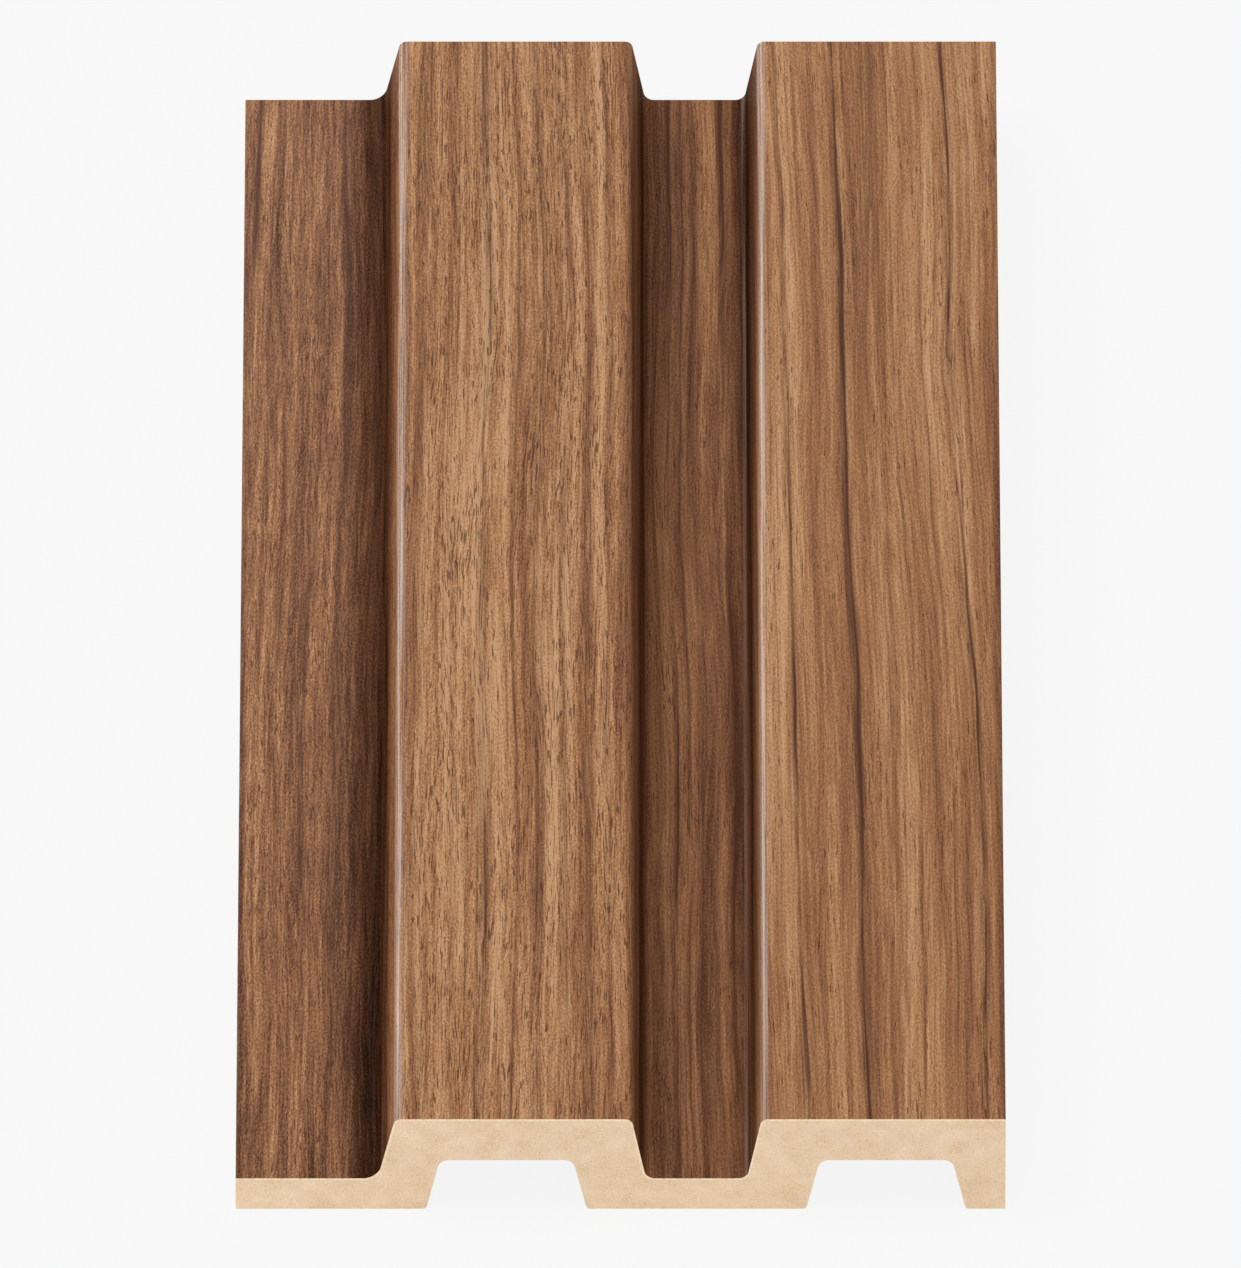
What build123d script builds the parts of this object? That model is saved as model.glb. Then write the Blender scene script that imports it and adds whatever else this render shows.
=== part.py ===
from build123d import *
import os
from math import radians, tan

# A cladding plank lies on its back: the face looks up along +Z, the width runs along X and the
# length along Y. The origin is under the middle of the plank, in the plane of its back.

# Face profile, from the low flange at the left edge to the rib at the right edge (mm, degrees)
PLANK_LENGTH = 390.0
PLANK_THICKNESS = 23.0
FLOOR_THICKNESS = 7.8
FLANGE_WIDTH = 29.5
INNER_RIB_FOOT_WIDTH = 55.8
GROOVE_FLOOR_WIDTH = 21.0
EDGE_RIB_FOOT_WIDTH = 53.7
FLANGE_WALL_DRAFT = 13.5
GROOVE_WALL_DRAFT = 11.2
RIB_ARRIS_RADIUS = 1.6
FLANGE_FOOT_RADIUS = 3.75
GROOVE_FOOT_RADIUS = 2.2

# Hollow back: each rib has an open channel between two legs that stand on the wall
RIB_TOP_WALL = 10.5
FLANGE_LEG_WIDTH = 10.1
GROOVE_LEG_WIDTH = 12.3
EDGE_LEG_WIDTH = 8.2
CHANNEL_DRAFT = 12.9
CHANNEL_CEILING_RADIUS = 2.2
CHANNEL_LIP_RADIUS = 0.9

# Printed film bonded over the whole face, trimmed flush at the long edges
FILM_THICKNESS = 0.4
FILM_EDGE_RADIUS = 0.25


def lean(height, draft):
    """Sideways run of a wall of this height at this draft from upright."""
    return height * tan(radians(draft))


def at_points(section, points):
    """Vertices of a flat section that lie at the given points."""
    return [section.vertices().sort_by_distance((x, z, 0))[0] for x, z in points]


def plank_length_of(section):
    """The section, drawn as seen from the near end, extruded over the plank's length."""
    return extrude(Plane.XZ * section, amount=PLANK_LENGTH / 2, both=True)


# Stations across the plank
plank_width = FLANGE_WIDTH + INNER_RIB_FOOT_WIDTH + GROOVE_FLOOR_WIDTH + EDGE_RIB_FOOT_WIDTH
left_edge = -plank_width / 2
right_edge = plank_width / 2
inner_rib_left_foot = left_edge + FLANGE_WIDTH
inner_rib_right_foot = inner_rib_left_foot + INNER_RIB_FOOT_WIDTH
edge_rib_foot = inner_rib_right_foot + GROOVE_FLOOR_WIDTH

rib_height = PLANK_THICKNESS - FLOOR_THICKNESS
flange_wall_run = lean(rib_height, FLANGE_WALL_DRAFT)
groove_wall_run = lean(rib_height, GROOVE_WALL_DRAFT)

flange_foot = (inner_rib_left_foot, FLOOR_THICKNESS)
inner_rib_left_arris = (inner_rib_left_foot + flange_wall_run, PLANK_THICKNESS)
inner_rib_right_arris = (inner_rib_right_foot - groove_wall_run, PLANK_THICKNESS)
groove_left_foot = (inner_rib_right_foot, FLOOR_THICKNESS)
groove_right_foot = (edge_rib_foot, FLOOR_THICKNESS)
edge_rib_arris = (edge_rib_foot + groove_wall_run, PLANK_THICKNESS)

# Everything under the face, drawn past the edges and the back so that the film's inner side is
# one even offset of the whole face line
beyond = PLANK_THICKNESS
face_line = [
    (left_edge - beyond, FLOOR_THICKNESS),
    flange_foot,
    inner_rib_left_arris,
    inner_rib_right_arris,
    groove_left_foot,
    groove_right_foot,
    edge_rib_arris,
    (right_edge + beyond, PLANK_THICKNESS),
    (right_edge + beyond, -beyond),
    (left_edge - beyond, -beyond),
]
under_face = make_face(Polyline(*face_line, close=True))
rib_arrises = [inner_rib_left_arris, inner_rib_right_arris, edge_rib_arris]
under_face = fillet(at_points(under_face, rib_arrises), RIB_ARRIS_RADIUS)
under_face = fillet(at_points(under_face, [flange_foot]), FLANGE_FOOT_RADIUS)
under_face = fillet(at_points(under_face, [groove_left_foot, groove_right_foot]), GROOVE_FOOT_RADIUS)
under_film = offset(under_face, amount=-FILM_THICKNESS, kind=Kind.INTERSECTION)

plank_window = Rectangle(plank_width, PLANK_THICKNESS, align=(Align.CENTER, Align.MIN))

# Film: the layer between the face line and its offset, with its two trimmed edges eased
film_section = plank_window & (under_face - under_film)
film_edges = [(left_edge, FLOOR_THICKNESS), (right_edge, PLANK_THICKNESS)]
film_section = fillet(at_points(film_section, film_edges), FILM_EDGE_RADIUS)
decor_film = plank_length_of(film_section)

# Core: what is left under the film, less the two channels
channel_height = PLANK_THICKNESS - RIB_TOP_WALL
channel_run = lean(channel_height, CHANNEL_DRAFT)
channel_mouths = [
    (inner_rib_left_foot + FLANGE_LEG_WIDTH, inner_rib_right_foot - GROOVE_LEG_WIDTH),
    (edge_rib_foot + GROOVE_LEG_WIDTH, right_edge - EDGE_LEG_WIDTH),
]
core_section = plank_window & under_film
for mouth_left, mouth_right in channel_mouths:
    ceiling = [(mouth_left + channel_run, channel_height), (mouth_right - channel_run, channel_height)]
    lips = [(mouth_left, 0), (mouth_right, 0)]
    core_section -= make_face(Polyline(lips[0], *ceiling, lips[1], close=True))
    core_section = fillet(at_points(core_section, ceiling), CHANNEL_CEILING_RADIUS)
    core_section = fillet(at_points(core_section, lips), CHANNEL_LIP_RADIUS)
plank_core = plank_length_of(core_section)

os.makedirs("parts", exist_ok=True)
export_step(plank_core, "parts/plank_core.step")
export_step(decor_film, "parts/decor_film.step")
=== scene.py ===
"""Looks of a ribbed wall cladding plank: a wood-grain film wrapped over a foamed core.

The plank lies on its back on a pale floor, face up, with its sawn end towards the camera.
"""

import logging
import math
from abc import ABC, abstractmethod
from collections.abc import Callable, Sequence
from dataclasses import dataclass, field
from enum import Enum
from itertools import pairwise
from typing import ClassVar

import bmesh
import bpy
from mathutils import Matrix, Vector


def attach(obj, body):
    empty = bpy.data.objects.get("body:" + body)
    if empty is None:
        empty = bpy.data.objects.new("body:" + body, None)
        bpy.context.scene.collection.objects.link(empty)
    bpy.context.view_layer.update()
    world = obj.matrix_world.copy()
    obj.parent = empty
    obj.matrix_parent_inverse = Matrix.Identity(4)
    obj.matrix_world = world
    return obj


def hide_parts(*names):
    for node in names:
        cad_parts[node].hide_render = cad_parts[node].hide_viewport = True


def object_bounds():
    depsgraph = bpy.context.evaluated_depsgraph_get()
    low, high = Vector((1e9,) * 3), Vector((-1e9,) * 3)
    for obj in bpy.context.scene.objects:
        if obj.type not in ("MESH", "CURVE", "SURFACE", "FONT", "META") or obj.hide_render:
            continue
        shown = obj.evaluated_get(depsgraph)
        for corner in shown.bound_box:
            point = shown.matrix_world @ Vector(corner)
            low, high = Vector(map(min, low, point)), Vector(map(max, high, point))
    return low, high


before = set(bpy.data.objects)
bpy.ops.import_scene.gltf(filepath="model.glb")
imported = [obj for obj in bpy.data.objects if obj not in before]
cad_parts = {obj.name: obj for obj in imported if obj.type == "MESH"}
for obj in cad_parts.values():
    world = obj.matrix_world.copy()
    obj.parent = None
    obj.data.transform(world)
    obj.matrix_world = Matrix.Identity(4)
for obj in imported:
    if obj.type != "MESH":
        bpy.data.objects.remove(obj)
CAD_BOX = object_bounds()

MM = 0.001
PER_MM = 1 / MM
TOUCH = 1e-6
MERGE_DIGITS = 7
BODY = "root"
FILM_MAP = "film_sheet"
log = logging.getLogger("cladding_plank")

Colour = tuple[float, float, float, float]
Station = tuple[float, float]


def srgb(red: int, green: int, blue: int) -> Colour:
    """Turns a display colour into the linear colour that a socket takes.

    Args:
        red: Red from 0 to 255.
        green: Green from 0 to 255.
        blue: Blue from 0 to 255.

    Returns:
        The linear colour with full alpha.
    """
    shares = [value / 255 for value in (red, green, blue)]
    linear = [s / 12.92 if s <= 0.04045 else ((s + 0.055) / 1.055) ** 2.4 for s in shares]
    return (*linear, 1.0)


class Element(Enum):
    """Kinds of mesh element that can be picked in edit mode."""

    VERT = "verts"
    EDGE = "edges"
    FACE = "faces"


class Blend(Enum):
    """How a ramp goes from one stop to the next."""

    LINEAR = "LINEAR"
    EASE = "EASE"
    CONSTANT = "CONSTANT"


class Trait(Enum):
    """What differs in the grain from strip to strip."""

    BROAD = "broad"
    FINE = "fine"
    PORES = "pores"
    REACH = "reach"


class Border(Enum):
    """Long lines where the face bends or ends, from the flanged edge to the full-height edge."""

    FLANGE_EDGE = "flange_edge"
    FLANGE_FOOT = "flange_foot"
    INNER_RIB_LEFT_ARRIS = "inner_rib_left_arris"
    INNER_RIB_RIGHT_ARRIS = "inner_rib_right_arris"
    GROOVE_LEFT_FOOT = "groove_left_foot"
    GROOVE_RIGHT_FOOT = "groove_right_foot"
    EDGE_RIB_ARRIS = "edge_rib_arris"
    FULL_HEIGHT_EDGE = "full_height_edge"


class Strip(Enum):
    """Flat strips of the face, each given by its left and right border."""

    FLANGE = (Border.FLANGE_EDGE, Border.FLANGE_FOOT)
    INNER_RIB = (Border.INNER_RIB_LEFT_ARRIS, Border.INNER_RIB_RIGHT_ARRIS)
    GROOVE = (Border.GROOVE_LEFT_FOOT, Border.GROOVE_RIGHT_FOOT)
    EDGE_RIB = (Border.EDGE_RIB_ARRIS, Border.FULL_HEIGHT_EDGE)


class Value:
    """A socket that takes part in Python arithmetic: each operator adds a Math node."""

    def __init__(self, sheet: "NodeSheet", socket: bpy.types.NodeSocket) -> None:
        """Wraps one output socket of a node on a sheet."""
        self.sheet = sheet
        self.socket = socket

    def sibling(self, name: str) -> "Value":
        """Another output of the same node."""
        return Value(self.sheet, self.socket.node.outputs[name])

    def math(self, operation: str, *terms: "Value | float") -> "Value":
        """Adds a Math node with an operation and its inputs in order."""
        return self.sheet.node("Math", {"operation": operation}, dict(enumerate(terms)), "Value")

    def __add__(self, other: "Value | float") -> "Value":
        """This plus the other."""
        return self.math("ADD", self, other)

    def __radd__(self, other: float) -> "Value":
        """The other plus this."""
        return self.math("ADD", other, self)

    def __sub__(self, other: "Value | float") -> "Value":
        """This less the other."""
        return self.math("SUBTRACT", self, other)

    def __rsub__(self, other: float) -> "Value":
        """The other less this."""
        return self.math("SUBTRACT", other, self)

    def __mul__(self, other: "Value | float") -> "Value":
        """This times the other."""
        return self.math("MULTIPLY", self, other)

    def __rmul__(self, other: float) -> "Value":
        """The other times this."""
        return self.math("MULTIPLY", other, self)

    def __truediv__(self, other: "Value | float") -> "Value":
        """This divided by the other."""
        return self.math("DIVIDE", self, other)

    def __rtruediv__(self, other: float) -> "Value":
        """The other divided by this."""
        return self.math("DIVIDE", other, self)

    def greatest(self, other: "Value | float") -> "Value":
        """The greater of this and the other."""
        return self.math("MAXIMUM", self, other)

    def eased(self, low: float, high: float) -> "Value":
        """A smooth step, which falls where low is above high.

        Args:
            low: Where the step is 0.
            high: Where it is 1.

        Returns:
            The step.
        """
        ends = {"Value": self, "From Min": min(low, high), "From Max": max(low, high)}
        step = self.sheet.node("MapRange", {"interpolation_type": "SMOOTHSTEP"}, ends, "Result")
        return step if low < high else 1 - step


Link = Value | float | Sequence[float]


@dataclass(frozen=True)
class Streak:
    """Streaks of one width on a flat sheet.

    Attributes:
        pattern: Number of the noise pattern.
        width: Grain across, in millimetres.
        length: Grain along, in millimetres.
        strength: What the noise of about -0.5 to 0.5 is multiplied by.
    """

    pattern: int
    width: float
    length: float
    strength: float = 1.0


@dataclass(frozen=True)
class Mottle:
    """Soft mottling in a solid.

    Attributes:
        grain: Grain along X, Y and Z, in millimetres.
        detail: Octaves of finer noise in it.
    """

    grain: tuple[float, float, float]
    detail: float = 2.0


class NodeSheet:
    """The node tree of one material or world.

    Streaks are drawn on a turned lattice, so that its squares don't line up with the plank. A Mix
    node's colours go by number, because its sockets for other data have the same names.
    """

    LATTICE_TURN = math.radians(38)
    PATTERN_STEP = (31.7, 17.3, 0.0)
    NOISE_MEAN = 0.5
    MIX_FIRST = 6
    MIX_SECOND = 7
    MIX_RESULT = 2

    def __init__(self, tree: bpy.types.NodeTree) -> None:
        """Clears the tree."""
        self.tree = tree
        tree.nodes.clear()

    def node(
        self, kind: str, settings: dict[str, object], sockets: dict[str | int, Link], output: str | int
    ) -> Value:
        """Adds a node of any kind.

        Args:
            kind: The node's type, without its ShaderNode prefix.
            settings: Properties to set first; "stops" and "blend" are a ramp's.
            sockets: Values or links by input name or number.
            output: The output wanted, by name or number.

        Returns:
            That output.
        """
        node = self.tree.nodes.new(f"ShaderNode{kind}")
        for name, setting in settings.items():
            if name == "stops":
                self._set_stops(node.color_ramp.elements, setting)
            elif name == "blend":
                node.color_ramp.interpolation = setting.value
            else:
                setattr(node, name, setting)
        for name, value in sockets.items():
            if isinstance(value, Value):
                self.tree.links.new(value.socket, node.inputs[name])
            else:
                node.inputs[name].default_value = value
        return Value(self, node.outputs[output])

    @staticmethod
    def _set_stops(elements: bpy.types.ColorRampElements, stops: Sequence[tuple[float, Colour]]) -> None:
        """Gives a ramp its stops.

        Args:
            elements: The ramp's elements.
            stops: Positions in rising order, each with its colour.
        """
        while len(elements) < len(stops):
            elements.new(1.0)
        for element, (position, colour) in zip(elements, stops):
            element.position = position
            element.color = colour

    def surface(self, shader: Value, kind: str = "OutputMaterial") -> None:
        """Links a shader to the tree's output."""
        node = self.tree.nodes.new(f"ShaderNode{kind}")
        self.tree.links.new(shader.socket, node.inputs["Surface"])

    def principled(self, sockets: dict[str | int, Link]) -> None:
        """Makes a Principled BSDF with some sockets set the tree's surface."""
        self.surface(self.node("BsdfPrincipled", {}, sockets, "BSDF"))

    def ramp(
        self, value: Value, stops: Sequence[tuple[float, Colour]], blend: Blend = Blend.LINEAR
    ) -> Value:
        """Colours a value by a ramp."""
        return self.node("ValToRGB", {"stops": stops, "blend": blend}, {"Fac": value}, "Color")

    def profile(self, place: Value, stations: Sequence[Station], blend: Blend = Blend.LINEAR) -> Value:
        """A number that follows a place through some stations.

        Args:
            place: The place.
            stations: Places in rising order, each with the number from 0 to 1 there.
            blend: How the number goes from one station to the next.

        Returns:
            The number at the place.
        """
        first, last = stations[0][0], stations[-1][0]
        stops = [((at - first) / (last - first), (level, level, level, 1.0)) for at, level in stations]
        grey = self.ramp((place - first) / (last - first), stops, blend)
        return self.node("RGBToBW", {}, {"Color": grey}, "Val")

    def mix(self, share: Value, first: Link, second: Link) -> Value:
        """Mixes two colours by a share of the second."""
        sockets = {"Factor": share, self.MIX_FIRST: first, self.MIX_SECOND: second}
        return self.node("Mix", {"data_type": "RGBA"}, sockets, self.MIX_RESULT)

    def parts(self, vector: Value) -> tuple[Value, Value, Value]:
        """The three numbers of a vector."""
        first = self.node("SeparateXYZ", {}, {"Vector": vector}, "X")
        return first, first.sibling("Y"), first.sibling("Z")

    def object_place(self) -> tuple[Value, ...]:
        """The place on the object, in millimetres."""
        place = self.node("TexCoord", {}, {}, "Object")
        return tuple(part * PER_MM for part in self.parts(place))

    def mottled(self, place: Sequence[Value], mottle: Mottle) -> Value:
        """Smooth noise about zero in a solid.

        Args:
            place: Place on the object, in millimetres.
            mottle: The mottling to draw.

        Returns:
            Noise of about -0.5 to 0.5.
        """
        steps = [part / size for part, size in zip(place, mottle.grain)]
        spot = self.node("CombineXYZ", {}, dict(enumerate(steps)), "Vector")
        sockets = {"Vector": spot, "Scale": 1.0, "Detail": mottle.detail}
        return self.node("TexNoise", {}, sockets, "Fac") - self.NOISE_MEAN

    def streaked(self, across: Value, along: Value, streak: Streak) -> Value:
        """Long noise about zero on a flat sheet.

        Args:
            across: Place across the streaks, in millimetres.
            along: Place along them, in millimetres.
            streak: The streaks to draw.

        Returns:
            Noise of about half the streaks' strength either way.
        """
        lattice = {
            "Vector": self.node("CombineXYZ", {}, {"X": across, "Y": along}, "Vector"),
            "Location": [streak.pattern * step for step in self.PATTERN_STEP],
            "Rotation": (0.0, 0.0, self.LATTICE_TURN),
            "Scale": (1 / streak.width, 1 / streak.length, 1.0),
        }
        sockets = {"Vector": self.node("Mapping", {}, lattice, "Vector"), "Scale": 1.0, "Detail": 0.0}
        noise = self.node("TexNoise", {"noise_dimensions": "2D"}, sockets, "Fac")
        return (noise - self.NOISE_MEAN) * streak.strength

    def bump(self, height: Value, depth: float) -> Value:
        """A normal from a height of about 0 to 1 that stands for a depth in metres."""
        return self.node("Bump", {}, {"Strength": 1.0, "Distance": depth, "Height": height}, "Normal")


@dataclass(frozen=True)
class SheetPlace:
    """A place on the flat film, in millimetres.

    Attributes:
        across: Place across the sheet.
        along: Place along it from the near end.
        lengthwise: The same as a share of its length, from -0.5 at the near end to 0.5 at the far end.
        grain: Place across the grain, which fans out and wanders over the sheet.
        run: Place along the grain, shifted from streak to streak.
    """

    across: Value
    along: Value
    lengthwise: Value
    grain: Value
    run: Value

    def streaked(self, streak: Streak) -> Value:
        """Streaks that follow the grain."""
        return self.grain.sheet.streaked(self.grain, self.run, streak)

    def straight(self, streak: Streak) -> Value:
        """Streaks that lie straight along the sheet."""
        return self.across.sheet.streaked(self.across, self.along, streak)


@dataclass(frozen=True)
class Finish(ABC):
    """A surface finish with a material of its own."""

    name: str

    def material(self) -> bpy.types.Material:
        """Makes the material.

        Returns:
            The material, with the finish drawn on its node sheet.
        """
        made = bpy.data.materials.new(self.name)
        made.use_nodes = True
        self.paint(NodeSheet(made.node_tree))
        return made

    @abstractmethod
    def paint(self, sheet: NodeSheet) -> None:
        """Draws the finish on a node sheet."""


@dataclass(frozen=True)
class StripGrain:
    """How the grain looks on one strip, in numbers from 0 to 1.

    Attributes:
        broad: Strength of the broad streaks.
        fine: Strength of the fine streaks.
        pores: How readily pores show.
        reach: Length of the streaks, as a share of the longest.
    """

    broad: float
    fine: float
    pores: float
    reach: float


STRIP_GRAIN: dict[Strip, StripGrain] = {
    Strip.FLANGE: StripGrain(0.50, 1.0, 0.08, 0.65),
    Strip.INNER_RIB: StripGrain(0.74, 0.70, 0.11, 0.90),
    Strip.GROOVE: StripGrain(0.85, 0.72, 0.03, 0.90),
    Strip.EDGE_RIB: StripGrain(0.74, 0.60, 0.01, 1.0),
}


@dataclass(frozen=True)
class GrainLine:
    """A long dark line of the print: a soft band with a thin core beside its middle.

    Attributes:
        place: Middle of the band, in millimetres from its strip's left border.
        half_width: Half the band's width, in millimetres.
        depth: Strength of the band.
        core: Strength of the core.
    """

    CORE_SHIFT: ClassVar[float] = 0.2
    CORE_HALF_WIDTH: ClassVar[float] = 0.4

    place: float
    half_width: float
    depth: float
    core: float = 0.0

    @staticmethod
    def peak(middle: float, half_width: float, level: float) -> list[Station]:
        """Stations of a number that rises from 0 to a level and falls to 0 again."""
        return [(middle - half_width, 0.0), (middle, level), (middle + half_width, 0.0)]

    def band(self, border: float) -> list[Station]:
        """Stations of the band, on a strip whose left border lies at a place across the sheet."""
        return self.peak(border + self.place, self.half_width, self.depth)

    def core_line(self, border: float) -> list[Station]:
        """Stations of the core, on the same strip."""
        return self.peak(border + self.place + self.CORE_SHIFT, self.CORE_HALF_WIDTH, self.core)


GRAIN_LINES: dict[Strip, tuple[GrainLine, ...]] = {
    Strip.FLANGE: (
        GrainLine(0.6, 1.5, 0.40, 0.15),
        GrainLine(4.2, 1.5, 0.22, 0.10),
        GrainLine(8.6, 1.6, 0.15, 0.10),
        GrainLine(14.4, 1.8, 0.25, 0.15),
        GrainLine(20.6, 1.7, 0.22, 0.10),
    ),
    Strip.INNER_RIB: (
        GrainLine(5.0, 2.6, 0.22),
        GrainLine(12.0, 1.0, 0.20, 0.20),
        GrainLine(18.4, 2.2, 0.45, 0.25),
        GrainLine(25.0, 1.0, 0.22, 0.25),
        GrainLine(29.8, 2.4, 0.32),
        GrainLine(35.2, 1.8, 0.32, 0.10),
        GrainLine(40.2, 1.6, 0.30, 0.10),
        GrainLine(44.2, 1.2, 0.25, 0.15),
    ),
    Strip.GROOVE: (
        GrainLine(2.6, 1.4, 0.25, 0.15),
        GrainLine(5.6, 1.1, 0.45, 0.40),
        GrainLine(8.2, 0.9, 0.25, 0.25),
        GrainLine(11.0, 1.8, 0.30),
        GrainLine(14.2, 0.8, 0.15, 0.20),
        GrainLine(17.6, 1.7, 0.65, 0.25),
    ),
    Strip.EDGE_RIB: (
        GrainLine(3.6, 0.8, 0.20, 0.20),
        GrainLine(7.0, 1.6, 0.45, 0.30),
        GrainLine(19.6, 1.9, 0.50, 0.35),
        GrainLine(26.6, 3.4, 0.25),
        GrainLine(31.0, 0.9, 0.20, 0.25),
        GrainLine(37.4, 0.9, 0.12, 0.20),
        GrainLine(43.0, 1.7, 0.50, 0.45),
        GrainLine(47.2, 1.2, 0.15, 0.10),
    ),
}

# Levels across the sheet: by each border, places in millimetres from it and the level there
Levels = dict[Border, tuple[Station, ...]]

# The mean tone: palest on the ribs and darker on the low strips, with painted shade darkening the walls, the
# feet, the groove beside the inner rib and the two trimmed edges, and painted light on the upper walls under
# the arrises that face the flange
TONE_WITH_PAINTED_SHADE_AND_LIGHT: Levels = {
    Border.FLANGE_EDGE: ((0.0, 0.46), (0.6, 0.40), (1.6, 0.62)),
    Border.FLANGE_FOOT: ((-11.0, 0.60), (-6.0, 0.39), (-2.5, 0.19), (-0.5, 0.16), (2.0, 0.22)),
    Border.INNER_RIB_LEFT_ARRIS: ((-9.0, 0.25), (-6.0, 0.44), (-1.6, 0.68), (1.0, 0.75), (3.0, 0.81)),
    Border.INNER_RIB_RIGHT_ARRIS: ((-4.0, 0.82), (0.0, 0.58), (4.0, 0.42)),
    Border.GROOVE_LEFT_FOOT: ((-3.0, 0.32), (1.0, 0.49), (5.0, 0.575)),
    Border.GROOVE_RIGHT_FOOT: ((-4.6, 0.60), (-2.4, 0.38), (-1.0, 0.31), (0.6, 0.30), (3.0, 0.25)),
    Border.EDGE_RIB_ARRIS: ((-8.0, 0.27), (-5.0, 0.44), (-1.6, 0.66), (1.0, 0.71), (3.0, 0.75)),
    Border.FULL_HEIGHT_EDGE: ((-2.0, 0.76), (-1.0, 0.56)),
}

# The lacquer's gloss: satin on the flats, dull in the feet and on the walls
LACQUER_SATIN: Levels = {
    Border.FLANGE_FOOT: ((-8.0, 0.21), (-3.0, 0.02)),
    Border.INNER_RIB_LEFT_ARRIS: ((-2.4, 0.04), (1.2, 0.14)),
    Border.INNER_RIB_RIGHT_ARRIS: ((-1.2, 0.14), (1.0, 0.02)),
    Border.GROOVE_LEFT_FOOT: ((2.0, 0.02), (5.0, 0.10)),
    Border.GROOVE_RIGHT_FOOT: ((-5.0, 0.10), (-2.0, 0.02)),
    Border.EDGE_RIB_ARRIS: ((-2.4, 0.04), (1.2, 0.14)),
}

# Painted highlights, pale in colour and with extra gloss: over the two arrises that look to the flange's
# side, and faintly in the foot of the edge rib
PAINTED_ARRIS_HIGHLIGHT = ((-1.6, 0.0), (-0.2, 1.0), (1.1, 1.0), (2.1, 0.0))
PAINTED_FOOT_HIGHLIGHT = ((-0.9, 0.0), (-0.3, 0.46), (0.3, 0.46), (0.9, 0.0))
PAINTED_HIGHLIGHT_LEVELS: Levels = {
    Border.INNER_RIB_LEFT_ARRIS: PAINTED_ARRIS_HIGHLIGHT,
    Border.GROOVE_RIGHT_FOOT: PAINTED_FOOT_HIGHLIGHT,
    Border.EDGE_RIB_ARRIS: PAINTED_ARRIS_HIGHLIGHT,
}


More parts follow.
